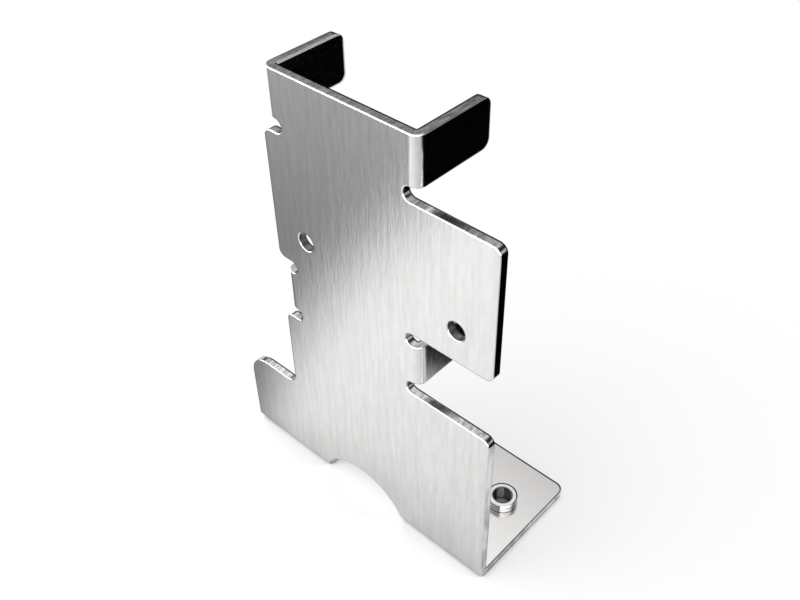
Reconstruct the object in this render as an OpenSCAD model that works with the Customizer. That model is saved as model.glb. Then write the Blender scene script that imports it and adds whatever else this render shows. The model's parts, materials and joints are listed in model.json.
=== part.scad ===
/* [Sheet] */
// Thickness of the sheet metal
sheet_t = 2; // [1.5:0.1:2.5]
// Inside radius of every bend
bend_r = 0.2; // [0.1:0.1:1]

/* [Lower panel and ears] */
// Width of the lower panel and of the two ears, edge to edge
body_w = 58.2; // [54:0.2:62]
// Height of the lower panel above the floor
panel_h = 47.4; // [42:0.2:56]
// Height of the ears, from their lower edge to their upper edge
ear_h = 31.4; // [24:0.2:40]
// Corner radius of the ears and of the panel's free upper corners
ear_corner_r = 1.8; // [0.5:0.1:4]
// Distance between the two fixing holes
hole_spacing = 40; // [36:0.5:46]
// Diameter of the fixing holes
hole_d = 4.3; // [3.2:0.1:5.5]
// Height of the fixing holes above the ears' lower edge
hole_rise = 7.8; // [5:0.1:14]

/* [Side flanges] */
// Width across the outside of the side flanges
channel_w = 38.5; // [36:0.1:40]
// How far the middle of the side flanges lies left of the middle of the fixing holes
channel_shift = 8.35; // [7:0.05:9]
// Depth of the side flanges, from the front face
flange_d = 19.2; // [12:0.2:26]
// Height of the lower pair of side flanges
low_flange_h = 10.3; // [8:0.1:16]
// Height of the upper pair of side flanges
top_flange_h = 10.6; // [8:0.1:20]
// Corner radius of the side flanges' free ends
flange_corner_r = 2; // [0.5:0.1:3.5]
// Height of the relief slots that part the side flanges from the panel and the ears
slot_h = 3.2; // [2.2:0.1:5]
// How far the relief slots reach in beyond the bends
slot_reach = 1.5; // [0.5:0.1:3]

/* [Foot and base flanges] */
// Width of the base, from the foot's tip to the panel's right edge
base_w = 75; // [70:0.5:84]
// Height of the foot that stands out on the left
foot_h = 24; // [14:0.5:32]
// Corner radius at the foot's tip
foot_corner_r = 6.4; // [1:0.1:7]
// Radius of the inside corner between the foot and the panel
foot_fillet_r = 3.2; // [1:0.1:4]
// Depth of the base flanges, from the front face
base_d = 32.8; // [26:0.2:44]
// Corner radius of the base flanges
base_corner_r = 2.2; // [1:0.1:5]
// Width of the gap between the two base flanges
arch_w = 24.2; // [18:0.2:28]
// Height of the arch over that gap, above the floor
arch_h = 8.8; // [6:0.2:10]
// How far the middle of the gap lies left of the middle of the fixing holes
arch_shift = 7.9; // [6:0.1:9]

/* [Clinch nut] */
// How far the nut's axis lies behind the front face
nut_y = 19.5; // [14:0.1:22]
// How far the nut's axis lies in from the panel's right edge
nut_inset = 9.1; // [7:0.1:13.2]
// Diameter of the nut's body
nut_d = 7.3; // [6.4:0.1:9]
// Height of the nut's body above the base flange
nut_h = 2.2; // [1.5:0.05:4]
// Diameter of the nut's bore
nut_bore_d = 4.2; // [3.3:0.1:4.4]

/* [Hidden] */
$fn = 96;
// Heights above the floor, stacked from the bottom
bend_out = bend_r + sheet_t;
low_flange_z = panel_h + slot_h;
ear_z = low_flange_z + low_flange_h + slot_h;
ear_top = ear_z + ear_h;
top_flange_z = ear_top + slot_h;
total_h = top_flange_z + top_flange_h;
hole_z = ear_z + hole_rise;
// Places along the width
panel_right = body_w / 2;
foot_left = panel_right - base_w;
channel_left = -channel_shift - channel_w / 2;
channel_right = -channel_shift + channel_w / 2;
gap_left = -arch_shift - arch_w / 2;
gap_right = -arch_shift + arch_w / 2;
// Arch that springs from the bend line at both sides of the gap
arch_rise = arch_h - bend_out;
arch_r = (pow(arch_w / 2, 2) + pow(arch_rise, 2)) / (2 * arch_rise);
arch_fn = 180;
// Nut: place, neck in the flange, groove round the body, chamfers
nut_x = panel_right - nut_inset;
neck_step = 0.55;
neck_d = nut_d - 2 * neck_step;
neck_clearance = 0.04;
neck_short = 0.1;
groove_rise = 0.9;
groove_w = 0.3;
groove_deep = 0.15;
nut_chamfer = 0.25;
bore_chamfer = 0.3;
through = 1;

// Frame: origin on the front face, midway between the fixing holes
module from_floor() {
    translate([0, 0, -hole_z]) children();
}

// Stands a drawing in x and height upright as a plate behind the front face
module upright(thickness) {
    translate([0, thickness, 0]) rotate([90, 0, 0]) linear_extrude(thickness) children();
}

// What a round corner of radius r takes off a square corner at the origin
module corner_waste(r) {
    difference() {
        square(r);
        translate([r, r]) circle(r);
    }
}

// Rectangle with a radius for each corner: lower left, lower right, upper right, upper left
module rounded_plate(w, h, radii) {
    places = [[0, 0], [w, 0], [w, h], [0, h]];
    difference() {
        square([w, h]);
        for (i = [0:3]) {
            if (radii[i] > 0) {
                translate(places[i]) rotate(90 * i) corner_waste(radii[i]);
            }
        }
    }
}

// Section of a flange and its bend: x away from the bend's start, y back from the front face
module flange_section(depth) {
    intersection() {
        translate([0, bend_out]) difference() {
            circle(bend_out);
            circle(bend_r);
        }
        square(bend_out);
    }
    translate([bend_r, bend_out]) square([sheet_t, depth - bend_out]);
}

// Side flange on the right of the web, with its lower edge on z = 0 and its free end rounded
module side_flange(height) {
    intersection() {
        linear_extrude(height) flange_section(flange_d);
        translate([-through, 0, 0]) rotate([90, 0, 90]) linear_extrude(bend_out + 2 * through)
            rounded_plate(flange_d, height, [0, flange_corner_r, flange_corner_r, 0]);
    }
}

// A pair of side flanges at one height
module side_flange_pair(z, height) {
    translate([channel_right - bend_out, 0, z]) side_flange(height);
    translate([channel_left + bend_out, 0, z]) mirror([1, 0, 0]) side_flange(height);
}

// Base flange under the web from x0 to x1, with its bend and two round corners
module base_flange(x0, x1) {
    width = x1 - x0;
    intersection() {
        translate([x0, 0, bend_out]) rotate([0, 90, 0])
            linear_extrude(width) flange_section(base_d);
        translate([x0, 0, -through]) linear_extrude(bend_out + 2 * through)
            rounded_plate(width, base_d, [0, 0, base_corner_r, base_corner_r]);
    }
}

// Relief slot that ends round, from its inner end at x = 0 out to the right
module relief_slot() {
    translate([slot_h / 2, slot_h / 2]) circle(slot_h / 2);
    translate([slot_h / 2, 0]) square([body_w, slot_h]);
}

// Front view of the flat web, above the bend line of the base flanges
module web_outline() {
    difference() {
        union() {
            translate([-panel_right, bend_out])
                rounded_plate(body_w, panel_h - bend_out, [0, 0, ear_corner_r, ear_corner_r]);
            translate([-panel_right, ear_z])
                rounded_plate(body_w, ear_h, [for (corner = [0:3]) ear_corner_r]);
            translate([channel_left + bend_out, bend_out])
                square([channel_w - 2 * bend_out, total_h - bend_out]);
            translate([foot_left, bend_out])
                rounded_plate(gap_left - foot_left, foot_h - bend_out, [0, 0, 0, foot_corner_r]);
            translate([-panel_right, foot_h]) mirror([1, 0]) corner_waste(foot_fillet_r);
        }
        for (z = [panel_h, ear_z - slot_h, ear_top]) {
            translate([channel_right - bend_out - slot_reach, z]) relief_slot();
            translate([channel_left + bend_out + slot_reach, z]) mirror([1, 0]) relief_slot();
        }
        translate([-arch_shift, arch_h - arch_r]) circle(arch_r, $fn = arch_fn);
        for (side = [-1, 1]) {
            translate([side * hole_spacing / 2, hole_z]) circle(d = hole_d);
        }
    }
}

// One folded sheet: web with ears and foot, four side flanges and two base flanges
module bracket() {
    color("silver") from_floor() difference() {
        union() {
            upright(sheet_t) web_outline();
            side_flange_pair(low_flange_z, low_flange_h);
            side_flange_pair(top_flange_z, top_flange_h);
            base_flange(foot_left, gap_left);
            base_flange(gap_right, panel_right);
        }
        translate([nut_x, nut_y, -through]) cylinder(d = neck_d + neck_clearance, h = sheet_t + 2 * through);
    }
}

// Round nut pressed into the right base flange, with its neck flush in the sheet
module clinch_nut() {
    half = nut_d / 2;
    bore = nut_bore_d / 2;
    groove_z = sheet_t + groove_rise;
    top = sheet_t + nut_h;
    color("gainsboro") from_floor() translate([nut_x, nut_y, 0]) rotate_extrude() polygon([
        [bore, neck_short],
        [neck_d / 2, neck_short],
        [neck_d / 2, sheet_t],
        [half, sheet_t],
        [half, groove_z],
        [half - groove_deep, groove_z],
        [half - groove_deep, groove_z + groove_w],
        [half, groove_z + groove_w],
        [half, top - nut_chamfer],
        [half - nut_chamfer, top],
        [bore + bore_chamfer, top],
        [bore, top - bore_chamfer]
    ]);
}

bracket();
clinch_nut();
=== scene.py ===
"""Dresses the folded sheet-metal bracket and its clinch nut, and sets them on a pale studio floor.

The bracket is built as a sheet-metal shop makes it: a flat blank with broken edges is worked out in the
plane and then folded, so that the brushed grain follows every bend. The nut is turned and threaded.
Sizes are in millimetres, as on a drawing, and meshes are written in metres.
"""

import json
import logging
import math
from dataclasses import dataclass
from enum import Enum
from functools import reduce
from typing import Any

import bpy
import numpy as np
from bpy.types import Material, NodeTree, Object
from mathutils import Euler, Matrix, Vector
from mathutils.geometry import delaunay_2d_cdt

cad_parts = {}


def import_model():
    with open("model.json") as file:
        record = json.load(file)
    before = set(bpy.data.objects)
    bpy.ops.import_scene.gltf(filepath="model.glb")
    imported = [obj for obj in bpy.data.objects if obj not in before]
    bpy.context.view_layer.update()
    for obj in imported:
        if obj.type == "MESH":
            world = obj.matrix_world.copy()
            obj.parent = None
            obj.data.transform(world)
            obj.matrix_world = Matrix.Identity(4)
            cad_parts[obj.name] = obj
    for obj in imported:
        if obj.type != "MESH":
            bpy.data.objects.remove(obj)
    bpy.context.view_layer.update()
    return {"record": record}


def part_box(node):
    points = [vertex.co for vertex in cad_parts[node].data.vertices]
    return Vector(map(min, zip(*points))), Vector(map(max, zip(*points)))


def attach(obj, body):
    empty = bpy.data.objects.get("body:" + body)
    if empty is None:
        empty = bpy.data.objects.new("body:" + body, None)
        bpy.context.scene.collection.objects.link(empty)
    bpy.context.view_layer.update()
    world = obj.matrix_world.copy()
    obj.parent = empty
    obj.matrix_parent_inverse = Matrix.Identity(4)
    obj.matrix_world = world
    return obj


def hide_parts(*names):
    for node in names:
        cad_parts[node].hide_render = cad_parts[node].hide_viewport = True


LOG = logging.getLogger("bracket")
MM = 0.001
BLANK_MAP = "blank"
DEPTH_SHARE = "depth_share"
PUNCHED = "punched"
SATIN = "satin"
SAME_PLACE = 1e-5
MOST_OF_SIDE = 0.45
MOST_OF_TURN = 0.95
AO_SAMPLES = 4
WHITE = (1.0, 1.0, 1.0, 1.0)

Array = np.ndarray
Socket = bpy.types.NodeSocket
Value = Socket | float
Triple = tuple[float, float, float]
Pair = tuple[float, float]


def unit(vectors: Array) -> Array:
    """Scales each row to length one."""
    return vectors / np.linalg.norm(vectors, axis=-1, keepdims=True)


def right_of(directions: Array) -> Array:
    """Turns plane directions a quarter turn clockwise, which is outwards on a counterclockwise loop."""
    return np.stack([directions[..., 1], -directions[..., 0]], axis=-1)


@dataclass
class Loop:
    """A closed edge of a flat blank: its outer line, its normals, and the line where its edge band ends."""

    outer: Array
    inner: Array
    normals: Array

    def cut(self, axis: int, values: Array) -> "Loop":
        """Adds a point wherever the inner line crosses one of the values.

        Args:
            axis: 0 for lines of constant u, 1 for lines of constant v.
            values: The places of the lines.

        Returns:
            The loop with the new points in order. A new point splits both lines at the same share.
        """
        count = len(self.outer)
        start = self.inner[:, axis]
        step = np.roll(start, -1) - start
        step = np.where(np.abs(step) < SAME_PLACE, np.inf, step)
        share = (values - start[:, None]) / step[:, None]
        segment, line = np.nonzero((share > SAME_PLACE) & (share < 1 - SAME_PLACE))
        share = share[segment, line][:, None]
        ahead = (segment + 1) % count
        old = (self.outer, self.inner)
        outer, inner = (points[segment] * (1 - share) + points[ahead] * share for points in old)
        normals = right_of(unit(self.outer[ahead] - self.outer[segment]))
        order = np.argsort(np.concatenate([np.arange(count), segment + share[:, 0]]))
        pairs = ((self.outer, outer), (self.inner, inner), (self.normals, normals))
        return Loop(*(np.concatenate(pair)[order] for pair in pairs))


def rounded_loop(corners: Array, edge: float, steps: int) -> Loop:
    """Rounds the corners of a closed polygon and sets the line inside it where its edge band ends.

    In words: an arc's centre lies on the corner's bisector, its radius over the sine of half the corner's
    angle away, and its points turn evenly from one tangent point to the other. The inner line lies one
    band inside, square to the outer line, and at a sharp corner on the mitre.

    Args:
        corners: Rows of u, v and corner radius, counterclockwise.
        edge: Width of the band between the outer line and the inner one.
        steps: Number of pieces in each arc.

    Returns:
        The loop, with one point at each sharp corner.
    """
    at, radius = corners[:, :2], corners[:, 2:]
    back = unit(np.roll(at, 1, axis=0) - at)
    ahead = unit(np.roll(at, -1, axis=0) - at)
    half = np.arccos(np.clip((back * ahead).sum(axis=1, keepdims=True), -1, 1)) / 2
    reach = radius / np.tan(half)
    centre = at + unit(back + ahead) * radius / np.sin(half)
    first = (at + back * reach - centre)[:, None]
    last = (at + ahead * reach - centre)[:, None]
    turn = (np.pi - 2 * half)[:, None]
    share = np.linspace(0, 1, steps + 1)[None, :, None]
    arc = (np.sin((1 - share) * turn) * first + np.sin(share * turn) * last) / np.sin(turn)
    hollow = back[:, 0] * ahead[:, 1] - back[:, 1] * ahead[:, 0] > 0
    side = np.where(hollow, -1.0, 1.0)[:, None, None]
    into, out_of = right_of(-back), right_of(ahead)
    mitre = (into + out_of) / (1 + (into * out_of).sum(axis=1, keepdims=True))
    sharp = (radius == 0)[:, :, None]
    offset = np.where(sharp, mitre[:, None], side * arc / np.where(sharp, 1, radius[:, None]))
    points = (centre[:, None] + arc).reshape(-1, 2)
    offset = offset.reshape(-1, 2)
    sharp = np.repeat(sharp[:, 0, 0], steps + 1)
    same = np.linalg.norm(np.roll(points, -1, axis=0) - points, axis=1) < SAME_PLACE
    next_sharp = np.roll(sharp, -1)
    doubled = (same & next_sharp) | np.roll(same & ~next_sharp, 1)
    points, offset = points[~doubled], offset[~doubled]
    return Loop(points, points - edge * offset, unit(offset))


def round_hole(centre: Pair, radius: float, edge: float, count: int) -> Loop:
    """Round hole in a blank, clockwise, so that its normals point from the material into the hole.

    Args:
        centre: The hole's middle, as u and v.
        radius: The hole's radius.
        edge: Width of the band round its rim.
        count: Number of points.

    Returns:
        The loop.
    """
    turn = -np.linspace(0, 2 * np.pi, count, endpoint=False)
    ray = np.stack([np.cos(turn), np.sin(turn)], axis=1)
    return Loop(centre + radius * ray, centre + (radius + edge) * ray, -ray)


def fill(loops: list[Loop], lines: list[tuple[int, int]]) -> Array:
    """Triangles that fill the inner lines of the loops, holes left open.

    In words: those triangles stay whose middle has an odd number of loop edges to its right.

    Args:
        loops: The blank's outline first, then its holes.
        lines: Pairs of point numbers, counted through all loops, that have to stay edges.

    Returns:
        Rows of three point numbers, counterclockwise.
    """
    points = np.concatenate([loop.inner for loop in loops])
    after = following(loops)
    edges = [*zip(range(len(points)), after.tolist()), *lines]
    _, _, faces, origin, _, _ = delaunay_2d_cdt([Vector(p) for p in points], edges, [], 0, SAME_PLACE)
    source = np.array([numbers[0] for numbers in origin])
    triangles = source[np.array(faces)]
    a, b, c = points[triangles.T]
    middle = (a + b + c) / 3
    start, end = points, points[after]
    above = (start[..., 1] > middle[:, None, 1]) != (end[..., 1] > middle[:, None, 1])
    rise = np.where(above, end[..., 1] - start[..., 1], 1)
    crossing = start[..., 0] + (middle[:, None, 1] - start[..., 1]) / rise * (end - start)[..., 0]
    inside = (above & (crossing > middle[:, None, 0])).sum(axis=1) % 2 == 1
    area = (b - a)[:, 0] * (c - a)[:, 1] - (b - a)[:, 1] * (c - a)[:, 0]
    triangles = np.where((area < 0)[:, None], triangles[:, ::-1], triangles)
    return triangles[inside & (np.abs(area) > SAME_PLACE**2)]


def following(loops: list[Loop]) -> Array:
    """For every point, counted through all loops, the number of the next point on its own loop."""
    starts = np.cumsum([0, *(len(loop.outer) for loop in loops)])
    return np.concatenate([a + (np.arange(b - a) + 1) % (b - a) for a, b in zip(starts, starts[1:])])


def soft_corners(corners: Array, band: Array, edge: float, steps: int) -> tuple[Array, Array]:
    """Section with hardly rounded corners whose normals turn over a wider band, as on a tumbled edge.

    In words: a point at a share of the band away from its corner has its own side's normal, turned
    towards the corner's bisector by the square root of the rest of the band.

    Args:
        corners: Corners of a closed section, counterclockwise.
        band: For each corner the width of its band. It takes less than half of a short side.
        edge: How far the corner itself is taken back.
        steps: Number of pieces in a band.

    Returns:
        The points in order and their normals.
    """
    side = np.roll(corners, -1, axis=0) - corners
    length = np.linalg.norm(side, axis=1)
    ahead = side / length[:, None]
    back = -np.roll(ahead, 1, axis=0)
    room = MOST_OF_SIDE * np.minimum(length, np.roll(length, 1))
    band_here = np.minimum(band, room)[:, None, None]
    share = np.linspace(1, 0, steps + 1)[None, :, None]
    distance = np.minimum(edge, band_here / 2) * (1 - share) + band_here * share
    before = corners[:, None] + back[:, None] * distance
    after = corners[:, None] + ahead[:, None] * distance[:, ::-1]
    own_before, own_after = right_of(-back)[:, None], right_of(ahead)[:, None]
    middle = unit(own_before + own_after)
    bent = MOST_OF_TURN * np.sqrt(1 - share)
    turned_before = unit(own_before * (1 - bent) + middle * bent)
    turned_after = unit(own_after * (1 - bent) + middle * bent)
    points = np.concatenate([before, after], axis=1).reshape(-1, 2)
    normals = np.concatenate([turned_before, turned_after[:, ::-1]], axis=1).reshape(-1, 2)
    return points, normals


def new_mesh(name: str, points: Array, faces: list[Array], normals: Array) -> Object:
    """Makes a smooth mesh object at the origin from whole arrays.

    Args:
        name: The object's name.
        points: Rows of x, y, z in millimetres.
        faces: Arrays of point numbers, one row a face.
        normals: A normal for each point.

    Returns:
        The new object, linked to the scene.
    """
    mesh = bpy.data.meshes.new(name)
    rows = [row for block in faces for row in block.tolist()]
    mesh.from_pydata((points * MM).tolist(), [], rows)
    mesh.polygons.foreach_set("use_smooth", np.ones(len(rows), dtype=bool))
    mesh.normals_split_custom_set_from_vertices(normals.tolist())
    mesh.update()
    piece = bpy.data.objects.new(name, mesh)
    bpy.context.scene.collection.objects.link(piece)
    return piece


def point_attribute(piece: Object, name: str, values: Array) -> None:
    """Writes one number for each point of a piece."""
    layer = piece.data.attributes.new(name, "FLOAT", "POINT")
    layer.data.foreach_set("value", values.ravel())


def area_normals(points: Array, faces: Array) -> Array:
    """Point normals of a mesh of quads, each face counting by its area, so that flat faces stay flat.

    Args:
        points: Rows of x, y, z.
        faces: Rows of four point numbers.

    Returns:
        A normal for each point.
    """
    corner = points[faces]
    across = np.cross(corner[:, 2] - corner[:, 0], corner[:, 3] - corner[:, 1])
    total = np.zeros_like(points)
    np.add.at(total, faces.ravel(), np.repeat(across, 4, axis=0))
    return unit(total)


class Rise(Enum):
    """How a ramp rises between its ends."""

    SMOOTH = "SMOOTHSTEP"
    STRAIGHT = "LINEAR"


@dataclass(frozen=True)
class Step:
    """A ramp from one result to another between two values, held at both ends."""

    start: float
    end: float
    low: float = 0.0
    high: float = 1.0
    rise: Rise = Rise.SMOOTH


@dataclass(frozen=True)
class Grain:
    """A noise: its counts in a millimetre along each axis, its detail and its roughness."""

    counts: Triple
    detail: float = 1.0
    roughness: float = 0.5


class Graph:
    """A shader's node tree, with short calls that add a node and link its inputs."""

    def __init__(self, tree: NodeTree) -> None:
        """Empties the tree and keeps it."""
        self.tree = tree
        tree.nodes.clear()

    def add(self, kind: str, inputs: dict[str | int, Any] | None = None, **settings: Any) -> bpy.types.Node:
        """Adds a node.

        Args:
            kind: The node's type, without the word ShaderNode.
            inputs: Values or sockets for its inputs, by name or number.
            settings: Values for the node's own properties.

        Returns:
            The node.
        """
        node = self.tree.nodes.new("ShaderNode" + kind)
        for key, value in settings.items():
            setattr(node, key, value)
        for key, value in (inputs or {}).items():
            if isinstance(value, Socket):
                self.tree.links.new(value, node.inputs[key])
            else:
                node.inputs[key].default_value = value
        return node

    def math(self, operation: str, a: Value, b: Value = 0.0) -> Socket:
        """Result of an operation on one or two values."""
        return self.add("Math", {0: a, 1: b}, operation=operation).outputs[0]

    def vector(self, operation: str, a: Any, b: Any) -> Socket:
        """Result of an operation on two vectors."""
        return self.add("VectorMath", {0: a, 1: b}, operation=operation).outputs[0]

    def product(self, *values: Value) -> Socket:
        """Product of values, from the first to the last."""
        return reduce(lambda a, b: self.math("MULTIPLY", a, b), values)

    def rest(self, share: Socket) -> Socket:
        """One minus a share."""
        return self.math("SUBTRACT", 1.0, share)

    def scaled(self, value: Socket, factor: float, offset: float) -> Socket:
        """A value times a factor plus an offset."""
        return self.math("ADD", self.math("MULTIPLY", value, factor), offset)

    def fall(self, value: Socket, length: float) -> Socket:
        """Exponential of minus a value's size over a length."""
        return self.math("EXPONENT", self.math("DIVIDE", self.math("ABSOLUTE", value), -length))

    def ramp(self, value: Socket, step: Step) -> Socket:
        """Result of a step at a value."""
        inputs = {0: value, 1: step.start, 2: step.end, 3: step.low, 4: step.high}
        return self.add("MapRange", inputs, interpolation_type=step.rise.value).outputs[0]

    def mix(self, share: Socket, a: Value, b: Value) -> Socket:
        """Straight mix of two values."""
        return self.add("Mix", {0: share, 2: a, 3: b}, data_type="FLOAT").outputs[0]

    def noise(self, place: Socket, grain: Grain) -> Socket:
        """Noise between nought and one at a place in metres."""
        inputs = {
            "Vector": self.vector("MULTIPLY", place, grain.counts),
            "Scale": 1 / MM,
            "Detail": grain.detail,
            "Roughness": grain.roughness,
        }
        return self.add("TexNoise", inputs, noise_dimensions="3D").outputs[0]

    def attribute(self, name: str) -> Socket:
        """Number held for each point."""
        return self.add("Attribute", attribute_name=name).outputs["Fac"]

    def place(self) -> Socket:
        """Place on the object, in metres."""
        return self.add("TexCoord").outputs["Object"]

    def openness(self, reach: float) -> Socket:
        """Share of the directions that nothing covers within a reach in millimetres."""
        return self.add("AmbientOcclusion", {"Distance": reach * MM}, samples=AO_SAMPLES).outputs["AO"]

    def ray_kinds(self) -> tuple[Socket, Socket]:
        """Whether a ray comes from the camera, and whether it comes from metal that mirrors."""
        ray = self.add("LightPath").outputs
        return ray["Is Camera Ray"], self.math("MAXIMUM", ray["Is Glossy Ray"], ray["Is Transmission Ray"])

    def split(self, vector: Socket) -> bpy.types.NodeOutputs:
        """The x, y and z sockets of a vector."""
        return self.add("SeparateXYZ", {0: vector}).outputs

    def finish(self, shader: Socket, kind: str = "OutputMaterial") -> None:
        """Links a shader to the tree's output."""
        self.add(kind, {"Surface": shader})

    def metal(self, colour: Socket, rough: Socket, height: Socket, relief: Value, **more: Value) -> None:
        """Finishes the tree as bare metal with a relief.

        Args:
            colour: Colour of what it mirrors.
            rough: Its roughness.
            height: Pattern of its relief, between nought and one.
            relief: Depth of its relief, in metres.
            more: Further inputs of the shader.
        """
        bump = self.add("Bump", {"Height": height, "Strength": 1.0, "Distance": relief}).outputs[0]
        inputs = {"Base Color": colour, "Metallic": 1.0, "Roughness": rough, "Normal": bump, **more}
        self.finish(self.add("BsdfPrincipled", inputs).outputs[0])


def new_material(name: str) -> tuple[Material, Graph]:
    """Makes an empty node material.

    Args:
        name: The material's name.

    Returns:
        The material and the graph of its tree.
    """
    material = bpy.data.materials.new(name)
    material.use_nodes = True
    return material, Graph(material.node_tree)


@dataclass(frozen=True)
class BrushedSteel:
    """Sheet brushed in front along the blank, satin behind, and sheared at its cut faces."""

    colour: Triple = (0.87, 0.868, 0.862)
    back_tint: Triple = (0.88, 0.865, 0.85)
    strokes: Grain = Grain((1.1, 0.17, 0.0), 2.0)
    scratches: Grain = Grain((2.9, 0.40, 0.0))
    patches: Grain = Grain((0.75, 0.05, 0.0))
    shear_marks: Grain = Grain((1.6, 0.4, 0.12), 2.0, 0.55)
    stroke_share: float = 0.65
    cut_from: Step = Step(0.0, 0.05)
    back_from: Step = Step(0.97, 1.0)
    front_tone: Step = Step(0.3, 0.7, 0.95, 1.03)
    patch_tone: Step = Step(0.3, 0.7, 0.97, 1.03)
    back_tone: Step = Step(0.3, 0.7, 0.995, 1.005)
    mark_tone: Step = Step(0.33, 0.64, 0.62, 1.12)
    slot_shade_reach_mm: float = 3.0
    painted_slot_shade: Step = Step(0.3, 0.62, 0.2)
    painted_hole_shade: Step = Step(0.0, 1.0, 1.0, 0.42)
    roughness: Step = Step(0.25, 0.75, 0.155, 0.205)
    hole_roughness: float = 0.25
    satin_roughness: float = 0.26
    relief_mm: float = 0.042
    faint_relief_mm: float = 0.0042
    cut_smoothness: float = 0.7
    stretch: float = 0.4

    def material(self) -> Material:
        """Grain from two noises drawn out along the blank, in the relief, the tone and the roughness.

        In words: the strokes count fully in front and faintly behind, where the sheet is rougher instead.
        On the cut faces the tone follows dark shear marks, and it falls with painted shade where a slot
        closes in. The walls of the punched holes are rougher still, and darker with painted shade.

        Returns:
            The material. It reads the map of the flat blank, so the grain runs round the bends.
        """
        material, graph = new_material("brushed_steel")
        blank = graph.add("UVMap", uv_map=BLANK_MAP).outputs["UV"]
        strokes = graph.noise(blank, self.strokes)
        scratches = graph.noise(blank, self.scratches)
        grain = graph.product(strokes, self.stroke_share)
        grain = graph.math("ADD", grain, graph.product(scratches, 1 - self.stroke_share))
        depth = graph.attribute(DEPTH_SHARE)
        behind = graph.ramp(depth, self.back_from)
        cut = graph.math("SUBTRACT", graph.ramp(depth, self.cut_from), behind)
        # Walls of the punched holes: really rougher, and darker in colour as painted shade.
        hole_walls = graph.product(cut, graph.attribute(PUNCHED))
        rough = graph.ramp(scratches, self.roughness)
        rough = graph.math("ADD", rough, graph.product(hole_walls, self.hole_roughness))
        rough = graph.math("ADD", rough, graph.product(graph.attribute(SATIN), self.satin_roughness))
        patches = graph.noise(blank, self.patches)
        front_tone = graph.product(graph.ramp(grain, self.front_tone), graph.ramp(patches, self.patch_tone))
        marks = graph.noise(graph.place(), self.shear_marks)
        # Cut-face colour: the shear marks are the metal's own, and the darkening in slots and on hole walls
        # is painted shade.
        cut_marks_and_shade = graph.product(
            graph.ramp(marks, self.mark_tone),
            graph.ramp(graph.openness(self.slot_shade_reach_mm), self.painted_slot_shade),
            graph.ramp(hole_walls, self.painted_hole_shade),
        )
        tone = graph.mix(behind, graph.mix(cut, front_tone, cut_marks_and_shade), graph.ramp(grain, self.back_tone))
        tints = {0: behind, 4: self.colour, 5: self.back_tint}
        tint = graph.add("Mix", tints, data_type="VECTOR").outputs[1]
        colour = graph.vector("MULTIPLY", tint, tone)
        smooth = graph.math("MAXIMUM", behind, graph.product(cut, self.cut_smoothness))
        relief = graph.mix(smooth, self.relief_mm * MM, self.faint_relief_mm * MM)
        tangent = graph.add("Tangent", direction_type="UV_MAP", uv_map=BLANK_MAP).outputs[0]
        graph.metal(colour, rough, grain, relief, Anisotropic=self.stretch, Tangent=tangent)
        return material


@dataclass(frozen=True)
class BrightZinc:
    """Bright plating on a turned nut, with fine turning rings."""

    colour: Triple = (0.94, 0.935, 0.925)
    rings: Grain = Grain((5.0, 5.0, 0.0))
    mottle: Grain = Grain((0.9, 0.9, 0.9), 3.0, 0.6)
    mottle_tone: Step = Step(0.3, 0.7, 0.96, 1.03)
    roughness: Step = Step(0.3, 0.7, 0.10, 0.22)
    groove_shade_reach_mm: float = 0.6
    painted_groove_shade: Step = Step(0.35, 0.8, 0.2)
    painted_bore_shade: float = 0.16
    bore_edge: float = 1.04
    relief_mm: float = 0.003

    def material(self, middle: Vector, bore_reach: float) -> Material:
        """Rings round the nut's axis in the relief, a mottled roughness, and painted shade darkening the
        groove and the bore.

        Args:
            middle: A point on the nut's axis, in metres.
            bore_reach: How far the thread reaches from the axis, in metres.

        Returns:
            The material.
        """
        material, graph = new_material("bright_zinc")
        place = graph.place()
        x, y, z = graph.split(graph.vector("SUBTRACT", place, (middle.x, middle.y, 0)))
        radius = graph.math("SQRT", graph.math("ADD", graph.product(x, x), graph.product(y, y)))
        rings = graph.noise(graph.add("CombineXYZ", {0: radius, 1: z}).outputs[0], self.rings)
        mottle = graph.noise(place, self.mottle)
        # Painted shade: the colour darkens inside the bore and in the groove, and the mottle varies it at
        # random.
        tone = graph.product(
            graph.ramp(radius, Step(bore_reach, bore_reach * self.bore_edge, self.painted_bore_shade)),
            # painted shade in the groove
            graph.ramp(graph.openness(self.groove_shade_reach_mm), self.painted_groove_shade),
            graph.ramp(mottle, self.mottle_tone),
        )
        colour = graph.vector("MULTIPLY", self.colour, tone)
        graph.metal(colour, graph.ramp(mottle, self.roughness), rings, self.relief_mm * MM)
        return material


class Hand(Enum):
    """Side of the bracket, seen from the front."""

    LEFT = -1
    RIGHT = 1


@dataclass(frozen=True)
class Flange:
    """A side flange's place on the blank: its hand and the heights of its two edges above the floor."""

    hand: Hand
    low: float
    high: float


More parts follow.
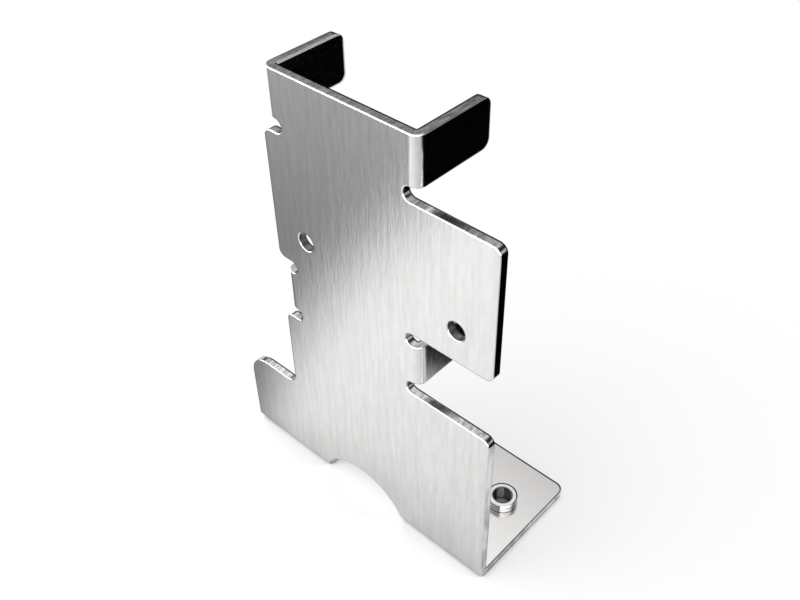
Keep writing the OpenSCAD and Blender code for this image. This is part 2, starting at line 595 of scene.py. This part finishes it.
@dataclass
class FoldedBracket:
    """The folded sheet. Blank coordinates are u along the width and v up the height, as on the web."""

    left: float
    right: float
    floor: float
    top: float
    base_depth: float
    nut_at: Pair
    thickness: float = 2.0
    bend_radius: float = 0.2
    bend_allowance: float = 1.4
    bend_steps: int = 12
    edge_band: float = 0.5
    near_band: float = 0.32
    cut_band: float = 0.26
    far_band: float = 0.42
    near_turn: float = 42.0
    far_turn: float = 26.0
    edge_radius: float = 0.05
    edge_steps: int = 5
    corner_steps: int = 12
    body_width: float = 58.2
    panel_height: float = 47.4
    ear_height: float = 31.4
    ear_corner: float = 1.8
    hole_spacing: float = 40.0
    hole_radius: float = 2.15
    hole_count: int = 72
    channel_width: float = 38.5
    channel_shift: float = 8.35
    flange_depth: float = 19.2
    low_flange_height: float = 10.3
    top_flange_height: float = 10.6
    flange_corner: float = 2.0
    slot_height: float = 3.2
    slot_reach: float = 1.5
    foot_height: float = 24.0
    foot_corner: float = 6.4
    foot_fillet: float = 3.2
    base_corner: float = 2.2
    arch_width: float = 24.2
    arch_height: float = 8.8
    arch_shift: float = 7.9
    neck_hole_radius: float = 3.12
    neck_hole_edge: float = 0.1
    satin_power: int = 4

    @property
    def bend_out(self) -> float:
        """Outside radius of a bend."""
        return self.bend_radius + self.thickness

    @property
    def low_flange(self) -> float:
        """Height of the lower side flanges' lower edge."""
        return self.panel_height + self.slot_height

    @property
    def ear(self) -> float:
        """Height of the ears' lower edge."""
        return self.low_flange + self.low_flange_height + self.slot_height

    @property
    def gap(self) -> Pair:
        """Left and right end of the gap between the base flanges."""
        return (-self.arch_shift - self.arch_width / 2, -self.arch_shift + self.arch_width / 2)

    def fold_start(self, hand: Hand) -> float:
        """Place along the width where the side flanges of one hand start to bend."""
        return -self.channel_shift + hand.value * (self.channel_width / 2 - self.bend_out)

    def flanges(self) -> list[Flange]:
        """The four side flanges.

        Returns:
            For each hand the lower flange and the upper one.
        """
        low, top = self.low_flange, self.top - self.floor
        heights = [(low, low + self.low_flange_height), (top - self.top_flange_height, top)]
        return [Flange(hand, low, high) for hand in Hand for low, high in heights]

    def side_corners(self, hand: Hand) -> list[Triple]:
        """Corners of one side of the blank from the panel's top up to the top flange.

        In words: panel, flange, ear and flange stand over one another, with a slot between each two.

        Args:
            hand: The side.

        Returns:
            Rows of u, v and corner radius, from the bottom to the top.
        """
        side, start = hand.value, self.fold_start(hand)
        slot_end = start - side * self.slot_reach
        free_end = start + side * (self.bend_allowance + self.flange_depth - self.bend_out)
        edge = side * self.body_width / 2
        low_flange, top_flange = (flange for flange in self.flanges() if flange.hand is hand)
        plates = [
            (edge, self.ear_corner, 0.0, self.panel_height),
            (free_end, self.flange_corner, low_flange.low, low_flange.high),
            (edge, self.ear_corner, self.ear, self.ear + self.ear_height),
            (free_end, self.flange_corner, top_flange.low, top_flange.high),
        ]
        corners = []
        for place, radius, low, high in plates:
            below, above = ((slot_end, v, self.slot_height / 2) for v in (low, high))
            corners += [below, (place, low, radius), (place, high, radius), above]
        return corners[2:-1]

    def outline(self) -> Array:
        """Corners of the whole blank. The arch is one corner, rounded down to its springing.

        Returns:
            Rows of u, v and corner radius, counterclockwise.
        """
        base_end = 2 * self.bend_out - self.bend_allowance - self.base_depth
        gap_left, gap_right = self.gap
        half = self.arch_width / 2
        rise = self.arch_height - self.bend_out
        arch_radius = (half**2 + rise**2) / (2 * rise)
        crown = self.bend_out + half**2 / (arch_radius - rise)
        return np.array(
            [
                (self.right, base_end, self.base_corner),
                *self.side_corners(Hand.RIGHT),
                *reversed(self.side_corners(Hand.LEFT)),
                (-self.body_width / 2, self.foot_height, self.foot_fillet),
                (self.left, self.foot_height, self.foot_corner),
                (self.left, base_end, self.base_corner),
                (gap_left, base_end, self.base_corner),
                (gap_left, self.bend_out, 0),
                (-self.arch_shift, crown, arch_radius),
                (gap_right, self.bend_out, 0),
                (gap_right, base_end, self.base_corner),
            ]
        )

    def bend_lines(self) -> dict[Hand | None, Array]:
        """Lines along the bends, close enough together for a round bend.

        Returns:
            For each hand the places of its lines of constant u, and under None those of constant v.
        """
        share = np.linspace(0, self.bend_allowance, self.bend_steps + 1)
        lines = {hand: self.fold_start(hand) + hand.value * share for hand in Hand}
        return {**lines, None: self.bend_out - share}

    def loops(self) -> list[Loop]:
        """The blank's edges, with points where the bend lines cross.

        Returns:
            The outline, the two fixing holes and the hole for the nut's neck.
        """
        outline = rounded_loop(self.outline(), self.edge_band, self.corner_steps)
        for hand, places in self.bend_lines().items():
            outline = outline.cut(1 if hand is None else 0, places)
        nut_x, nut_y = self.nut_at
        nut_v = 2 * self.bend_out - self.bend_allowance - nut_y
        middles = [(hand.value * self.hole_spacing / 2, -self.floor) for hand in Hand]
        holes = [round_hole(at, self.hole_radius, self.edge_band, self.hole_count) for at in middles]
        neck = round_hole((nut_x, nut_v), self.neck_hole_radius, self.neck_hole_edge, self.hole_count)
        return [outline, *holes, neck]

    def kept_lines(self, inner: Array) -> list[tuple[int, int]]:
        """Pairs of points on the inner line of the outline that the bend lines join.

        Args:
            inner: Points of the outline's inner line.

        Returns:
            The pairs of point numbers.
        """

        def nearest(u: float, v: float) -> int:
            """Number of the point nearest to a place."""
            return int(np.argmin(np.hypot(inner[:, 0] - u, inner[:, 1] - v)))

        lines, edge = self.bend_lines(), self.edge_band
        spans = ((self.left, self.gap[0]), (self.gap[1], self.right))
        sides = [(u, flange) for flange in self.flanges() for u in lines[flange.hand]]
        ends = [((u, flange.low + edge), (u, flange.high - edge)) for u, flange in sides]
        ends += [((low + edge, v), (high - edge, v)) for v in lines[None] for low, high in spans]
        return [(nearest(*start), nearest(*end)) for start, end in ends]

    def rim_profile(self) -> tuple[Array, Array, Array]:
        """Edge of the sheet, from the inner line in front over the cut face to the inner line behind.

        In words: the section is sharp but for a hair, and its normals turn evenly within a band at each
        side of its front corner, and less, with the square root of the way, at the back one.

        Returns:
            For each row the share of the way in to the inner line, the depth behind the front face, and
            the angle of the normal, which turns from facing front to facing back.
        """
        even = np.linspace(0, 1, self.edge_steps + 1)
        flat = np.zeros(len(even))
        near, behind, cut, far = (
            band + (self.edge_radius - band) * even
            for band in (self.near_band, self.edge_band, self.cut_band, self.far_band)
        )
        near_turn, far_turn = self.near_turn * even, self.far_turn * np.sqrt(even)
        turn = [[0], near_turn, 90.0 - near_turn[::-1], 90.0 + far_turn, 180.0 - far_turn[::-1]]
        return (
            np.concatenate([[1], near / self.edge_band, flat, flat, behind[::-1] / self.edge_band]),
            np.concatenate([[0], flat, cut[::-1], self.thickness - far, flat + self.thickness]),
            np.radians(np.concatenate(turn)),
        )

    def fold(self, u: Array, v: Array, depth: Array, normal: Array) -> tuple[Array, Array]:
        """Folds points of the blank.

        In words: past a bend's start the sheet turns evenly through a quarter circle about the bend's axis,
        which lies one outside radius behind the front face, and past the bend's end it runs straight back.

        Args:
            u: Places along the blank's width.
            v: Places up the blank's height.
            depth: Depths behind the blank's front face.
            normal: Normals on the flat blank, as rows of u, depth and v parts.

        Returns:
            The folded points and normals, in the row frame.
        """
        radius, middle = self.bend_out - depth, self.slot_height / 2
        # Each bend: its axis, its side, its start and where it counts
        bends = [(2, -1, self.bend_out, True)]
        for flange in self.flanges():
            beside = (v > flange.low - middle) & (v < flange.high + middle)
            bends.append((0, flange.hand.value, self.fold_start(flange.hand), beside))
        flat = (u, depth, v)
        place, facing = list(flat), [normal[..., axis] for axis in range(3)]
        for axis, side, start, beside in bends:
            past = side * (flat[axis] - start)
            on = (past > 0) & beside
            turn = np.clip(past / self.bend_allowance, 0, 1) * np.pi / 2
            straight = np.maximum(past - self.bend_allowance, 0)
            sine, cosine = np.sin(turn), np.cos(turn)
            across, back = facing[axis], facing[1]
            bent = (start + side * radius * sine, self.bend_out - radius * cosine + straight)
            turned = (across * cosine - side * back * sine, side * across * sine + back * cosine)
            for row, new, new_facing in zip((axis, 1), bent, turned):
                place[row] = np.where(on, new, place[row])
                facing[row] = np.where(on, new_facing, facing[row])
        place[2] = place[2] + self.floor
        return np.stack(place, axis=-1), np.stack(facing, axis=-1)

    def build(self) -> Object:
        """Builds the folded sheet, its map of the flat blank and what its finish reads.

        In words: every row of the rim is the outline taken in by the row's share and set at its depth. On
        the map the rim runs on outwards from the inner line by the length of the profile so far.

        Returns:
            The bracket's object.
        """
        loops = self.loops()
        outer = np.concatenate([loop.outer for loop in loops])
        inner = np.concatenate([loop.inner for loop in loops])
        outward = np.concatenate([loop.normals for loop in loops])
        triangles = fill(loops, self.kept_lines(loops[0].inner))
        share_in, depth, turn = self.rim_profile()
        flat = outer + (inner - outer) * share_in[:, None, None]
        rows, count = flat.shape[:2]
        deep = np.repeat(depth[:, None], count, axis=1)
        out = outward * np.sin(turn)[:, None, None]
        normal = np.stack([out[..., 0], -np.cos(turn)[:, None] + 0 * deep, out[..., 1]], axis=-1)
        points, normals = self.fold(flat[..., 0], flat[..., 1], deep, normal)
        row = np.arange(rows - 1)[:, None] * count
        here, after = np.arange(count), following(loops)
        rim = np.stack([row + here, row + count + here, row + count + after, row + after], axis=-1)
        rim = rim.reshape(-1, 4)
        faces = [triangles, (triangles + (rows - 1) * count)[:, ::-1], rim]
        piece = new_mesh("folded_bracket", points.reshape(-1, 3), faces, normals.reshape(-1, 3))
        step = np.hypot(np.diff(share_in) * self.edge_band, np.diff(depth))
        run = np.concatenate([[0], np.cumsum(step)])[:, None, None]
        developed = (inner + outward * run).reshape(-1, 2)
        corners = [inner[triangles.ravel()], inner[triangles[:, ::-1].ravel()], developed[rim.ravel()]]
        layer = piece.data.uv_layers.new(name=BLANK_MAP)
        layer.data.foreach_set("uv", (np.concatenate(corners) * MM).ravel())
        point_attribute(piece, DEPTH_SHARE, deep / self.thickness)
        point_attribute(piece, PUNCHED, np.tile(here >= len(loops[0].outer), rows).astype(float))
        point_attribute(piece, SATIN, np.maximum(normals[..., 1], 0) ** self.satin_power)
        return piece


@dataclass
class ClinchNut:
    """Round nut pressed into the base flange, turned about an upright axis. Heights are above the floor."""

    middle: Vector
    radius: float
    bottom: float
    top: float
    bore_radius: float
    floor: float
    neck_radius: float = 3.1
    seat: float = 2.0
    groove_rise: float = 0.8
    groove_width: float = 0.5
    groove_depth: float = 0.3
    foot_height: float = 0.2
    foot_depth: float = 0.15
    edge_band: float = 0.25
    rim_band: float = 0.5
    edge_radius: float = 0.05
    edge_steps: int = 4
    bore_chamfer: float = 0.12
    pitch: float = 0.8
    thread_depth: float = 0.38
    turns: int = 128
    thread_rows: int = 96

    @property
    def thread_reach(self) -> float:
        """Largest radius of the thread."""
        return self.bore_radius + self.thread_depth

    def profile(self) -> tuple[Array, Array]:
        """Section from the foot of the bore round the outside to its top, with a stepped foot and a groove.

        Returns:
            Rows of radius and height above the floor, counterclockwise, and their normals.
        """
        bore, neck, rim, low, top = self.bore_radius, self.neck_radius, self.radius, self.bottom, self.top
        mouth, foot, waist = bore + self.bore_chamfer, rim - self.foot_depth, rim - self.groove_depth
        radii = [bore, mouth, neck, neck, foot, foot, rim, rim, waist, waist, rim, rim, mouth, bore]
        step, groove = self.seat + self.foot_height, self.seat + self.groove_rise
        lip = groove + self.groove_width
        outside = [low, low, self.seat, self.seat, step, step, groove, groove, lip, lip, top, top]
        corners = np.column_stack([radii, [low + self.bore_chamfer, *outside, top - self.bore_chamfer]])
        at_rim = (corners[:, 0] == rim) & (corners[:, 1] == top)
        band = np.where(at_rim, self.rim_band, self.edge_band)
        return soft_corners(corners, band, self.edge_radius, self.edge_steps)

    def build(self) -> Object:
        """Turns the section about the axis and cuts the thread into the bore.

        In words: the bore's radius grows by a rounded wave of the height less the pitch times the share of
        a turn, and the wave fades out towards both ends of the bore.

        Returns:
            The nut's object.
        """
        outside, outward = self.profile()
        low, high = outside[0, 1], outside[-1, 1]
        heights = np.linspace(high, low, self.thread_rows + 2)[1:-1]
        bore = np.stack([np.full_like(heights, self.bore_radius), heights], axis=1)
        section = np.concatenate([outside, bore])
        angle = np.linspace(0, 2 * np.pi, self.turns, endpoint=False)[:, None]
        height = section[None, :, 1]
        wave = 0.5 - 0.5 * np.cos(2 * np.pi * (height / self.pitch - angle / (2 * np.pi)))
        fade = np.clip(np.minimum(height - low, high - height) / (self.pitch / 2), 0, 1)
        on_bore = np.arange(len(section))[None] >= len(outside)
        radius = section[None, :, 0] + np.where(on_bore, self.thread_depth * fade * wave, 0)
        x = self.middle.x + radius * np.cos(angle)
        y = self.middle.y + radius * np.sin(angle)
        points = np.stack([x, y, self.floor + height + 0 * x], axis=-1).reshape(-1, 3)
        here = np.arange(len(points)).reshape(self.turns, -1)
        beside = np.roll(here, -1, axis=0)
        faces = np.stack([here, beside, np.roll(beside, -1, axis=1), np.roll(here, -1, axis=1)], axis=-1)
        faces = faces.reshape(-1, 4)
        normals = area_normals(points, faces).reshape(self.turns, -1, 3)
        out, up = np.broadcast_to(outward.T[:, None], (2, self.turns, len(outside)))
        normals[:, : len(outside)] = np.stack([out * np.cos(angle), out * np.sin(angle), up], axis=-1)
        return new_mesh("threaded_clinch_nut", points, [faces], normals.reshape(-1, 3))


@dataclass(frozen=True)
class Cards:
    """Dark cards on the floor, as the metal sees them, by place in millimetres in the row frame."""

    forward_length: float = 45.0
    left_edge: Pair = (-39.0, -43.0)
    left_softness: Pair = (10.0, 12.0)
    left_tone: Step = Step(-55.0, -130.0, 0.25, 0.40, Rise.STRAIGHT)
    left_end: Step = Step(5.0, 45.0)
    left_side: Step = Step(-1.0, 1.0)
    far_left: Step = Step(-150.0, -450.0, 0.0, 0.45)
    across: Step = Step(-45.0, 160.0, 1.0, 0.63, Rise.STRAIGHT)
    shade_length: float = 24.0
    shade: Pair = (-0.30, 1.0)
    slant: Pair = (0.38, 0.925)
    back_side: Step = Step(0.0, 35.0)
    back_front: Step = Step(44.0, 63.0)
    far_behind: Step = Step(450.0, 800.0, 1.0, 0.0)

    def tone(self, graph: Graph, x: Socket, y: Socket) -> Socket:
        """Tone of the floor as the metal sees it: pale in front, with dark card at the left and behind.

        In words: the left card's edge runs outwards from the foot's tip as it comes forward, and softens,
        and the card ends behind the web. The tone falls slowly to the right, and in the bracket's shade
        at the foot line. Behind on the right, past a slanted line, and far behind it is black.

        Args:
            graph: The floor's graph.
            x: Place along the width, in millimetres.
            y: Place behind the front face, in millimetres.

        Returns:
            The tone, nought for black and one for white.
        """
        forward = graph.rest(graph.fall(graph.math("MINIMUM", y, 0.0), self.forward_length))
        from_edge = graph.math("SUBTRACT", x, graph.scaled(forward, *self.left_edge))
        past = graph.math("DIVIDE", from_edge, graph.scaled(forward, *self.left_softness))
        dark = graph.mix(graph.ramp(y, self.left_end), graph.ramp(y, self.left_tone), 1.0)
        left = graph.mix(graph.ramp(past, self.left_side), dark, 1.0)
        slant = graph.math("ADD", graph.product(x, self.slant[0]), graph.product(y, self.slant[1]))
        back = graph.product(graph.ramp(x, self.back_side), graph.ramp(slant, self.back_front))
        return graph.product(
            graph.math("ADD", left, graph.ramp(x, self.far_left)),
            graph.ramp(x, self.across),
            graph.scaled(graph.fall(y, self.shade_length), *self.shade),
            graph.ramp(y, self.far_behind),
            graph.rest(back),
        )


@dataclass(frozen=True)
class Sky:
    """The room as the metal sees it, by direction: x right, y back and z up."""

    least_rise: float = 0.02
    steep: Pair = (-2.72, 2.536)
    low: Pair = (-0.52, 0.909)
    brightest: float = 1.08
    right: Step = Step(0.08, 0.34, 0.0, 0.95)
    right_behind: Step = Step(0.0, 0.4)
    overhead: Step = Step(0.86, 0.97, 1.0, 0.75)
    front: Step = Step(-0.5, -0.85, 0.0, 0.3)
    front_low: Step = Step(0.3, 0.0)
    glow: Step = Step(0.3, 0.6, 0.0, 0.55)
    glow_low: Step = Step(0.42, 0.28)

    def tone(self, graph: Graph) -> Socket:
        """Brightness of the room: bright in front and overhead, dark behind and at the right.

        In words: it falls with the way back over the rise, first steeply and then slowly. Behind on the
        right it is nearly black, overhead and low in front a little dimmer, and a soft light stands low
        at the right.

        Args:
            graph: The world's graph.

        Returns:
            The brightness, one for white.
        """
        x, y, z = graph.split(graph.add("TexCoord").outputs["Generated"])
        lean = graph.math("DIVIDE", y, graph.math("MAXIMUM", z, self.least_rise))
        steep = graph.math("MINIMUM", graph.scaled(lean, *self.steep), self.brightest)
        low = graph.math("MAXIMUM", graph.scaled(lean, *self.low), 0.0)
        right = graph.product(graph.ramp(x, self.right), graph.ramp(y, self.right_behind))
        front = graph.product(graph.ramp(y, self.front), graph.ramp(z, self.front_low))
        glow = graph.product(graph.ramp(x, self.glow), graph.ramp(z, self.glow_low))
        room = graph.product(
            graph.math("MAXIMUM", steep, low),
            graph.rest(right),
            graph.ramp(z, self.overhead),
            graph.rest(front),
        )
        return graph.math("MAXIMUM", room, glow)


@dataclass(frozen=True)
class Studio:
    """Pale floor, soft lamp, surroundings and camera. Places are in millimetres in the row frame."""

    floor: float
    floor_size: float = 6000.0
    lit: float = 0.36
    shade_reach: float = 30.0
    shade: Step = Step(0.2, 0.5)
    even_light: float = 0.44
    lamp_from: Triple = (-130.0, -230.0, 420.0)
    lamp_spread: float = 50.0
    lamp_strength: float = 0.68
    azimuth: float = 41.51
    elevation: float = 41.13
    eye: Triple = (101.25, -100.0, 120.8)
    focal_px: float = 962.3
    middle_px: Pair = (426.3, 297.0)
    image_px: tuple[int, int] = (800, 600)
    clip_m: Pair = (0.01, 20.0)

    def camera(self) -> None:
        """Camera at the place and angle worked out for the picture, with its shift."""
        data = bpy.data.cameras.new("camera")
        width, height = self.image_px
        data.lens = self.focal_px / width * data.sensor_width
        data.shift_x = (width / 2 - self.middle_px[0]) / width
        data.shift_y = (self.middle_px[1] - height / 2) / width
        data.clip_start, data.clip_end = self.clip_m
        camera = bpy.data.objects.new("camera", data)
        turn = Euler((math.radians(90.0 - self.elevation), 0.0, math.radians(self.azimuth)))
        camera.matrix_world = Matrix.LocRotScale(Vector(self.eye) * MM, turn, None)
        bpy.context.scene.collection.objects.link(camera)
        bpy.context.scene.camera = camera

    def floor_material(self) -> Material:
        """White floor that keeps a shadow. As the metal sees it, the tone of the cards comes on top.

        In words: the lamp lights a share of its white, and the rest is its own light, which fades out
        right under the bracket.

        Returns:
            The material.
        """
        material, graph = new_material("studio_floor")
        seen, mirrored = graph.ray_kinds()
        x, y, _ = graph.split(graph.vector("MULTIPLY", graph.place(), (1 / MM,) * 3))
        tone = graph.mix(mirrored, 1.0, Cards().tone(graph, x, y))
        matt = graph.add("BsdfDiffuse", {"Color": graph.vector("MULTIPLY", (self.lit,) * 3, tone)})
        shown = graph.math("MAXIMUM", mirrored, seen)
        deep = graph.ramp(graph.openness(self.shade_reach), self.shade)
        lift = graph.add("Emission", {"Strength": graph.product(shown, 1.0 - self.lit, tone, deep)})
        graph.finish(graph.add("AddShader", {0: matt.outputs[0], 1: lift.outputs[0]}).outputs[0])
        return material

    def lay_floor(self) -> None:
        """Flat floor under the base flanges."""
        half, z = self.floor_size / 2, self.floor
        points = np.array([(-half, -half, z), (half, -half, z), (half, half, z), (-half, half, z)])
        floor = new_mesh("studio_floor", points, [np.arange(4)[None]], np.tile([0.0, 0.0, 1.0], (4, 1)))
        floor.data.materials.append(self.floor_material())

    def surroundings(self) -> None:
        """White room with even light, and the sky's tone where the metal mirrors it."""
        world = bpy.data.worlds.new("white_room")
        bpy.context.scene.world = world
        world.use_nodes = True
        graph = Graph(world.node_tree)
        seen, mirrored = graph.ray_kinds()
        even, in_metal, white = (
            graph.add("Background", {"Color": WHITE, "Strength": strength}).outputs[0]
            for strength in (self.even_light, Sky().tone(graph), 1.0)
        )
        other = graph.add("MixShader", {0: mirrored, 1: even, 2: in_metal}).outputs[0]
        graph.finish(graph.add("MixShader", {0: seen, 1: other, 2: white}).outputs[0], "OutputWorld")

    def lamp(self) -> None:
        """Far soft lamp that shines towards the origin. One unit of strength renders white as white."""
        data = bpy.data.lights.new("key_lamp", "SUN")
        data.angle = math.radians(self.lamp_spread)
        data.energy = self.lamp_strength * math.pi
        lamp = bpy.data.objects.new("key_lamp", data)
        lamp.location = Vector(self.lamp_from) * MM
        lamp.rotation_euler = (-lamp.location).to_track_quat("-Z", "Y").to_euler()
        lamp.visible_glossy = False
        bpy.context.scene.collection.objects.link(lamp)

    def build(self) -> None:
        """Sets the stage, the lamp and the camera."""
        bpy.context.scene.view_settings.view_transform = "Standard"
        self.lay_floor()
        self.surroundings()
        self.lamp()
        self.camera()


def dress(piece: Object, node: str, material: Material) -> None:
    """Puts a piece in the place of its node.

    Args:
        piece: The finished piece.
        node: The node that it stands for.
        material: Its finish.
    """
    piece.data.materials.append(material)
    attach(piece, "root")
    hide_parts(node)
    LOG.info("%s replaces %s: %d faces", piece.name, node, len(piece.data.polygons))


def main() -> None:
    """Loads the frame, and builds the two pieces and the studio."""
    logging.basicConfig(level=logging.INFO, format="%(name)s: %(message)s")
    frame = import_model()
    low, high = (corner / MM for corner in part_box("bracket"))
    nut_low, nut_high = (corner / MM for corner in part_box("clinch_nut"))
    nut_middle = (nut_low + nut_high) / 2
    thread = next(mount for mount in frame["record"]["mounts"] if mount["name"] == "nut_thread")
    bracket = FoldedBracket(low.x, high.x, low.z, high.z, high.y, (nut_middle.x, nut_middle.y))
    dress(bracket.build(), "bracket", BrushedSteel().material())
    nut = ClinchNut(
        middle=nut_middle,
        radius=(nut_high.x - nut_low.x) / 2,
        bottom=nut_low.z - low.z,
        top=nut_high.z - low.z,
        bore_radius=thread["dims"]["r_mm"],
        floor=low.z,
    )
    finish = BrightZinc().material(nut_middle * MM, nut.thread_reach * MM)
    dress(nut.build(), "clinch_nut", finish)
    Studio(floor=low.z).build()


if __name__ == "__main__":
    main()
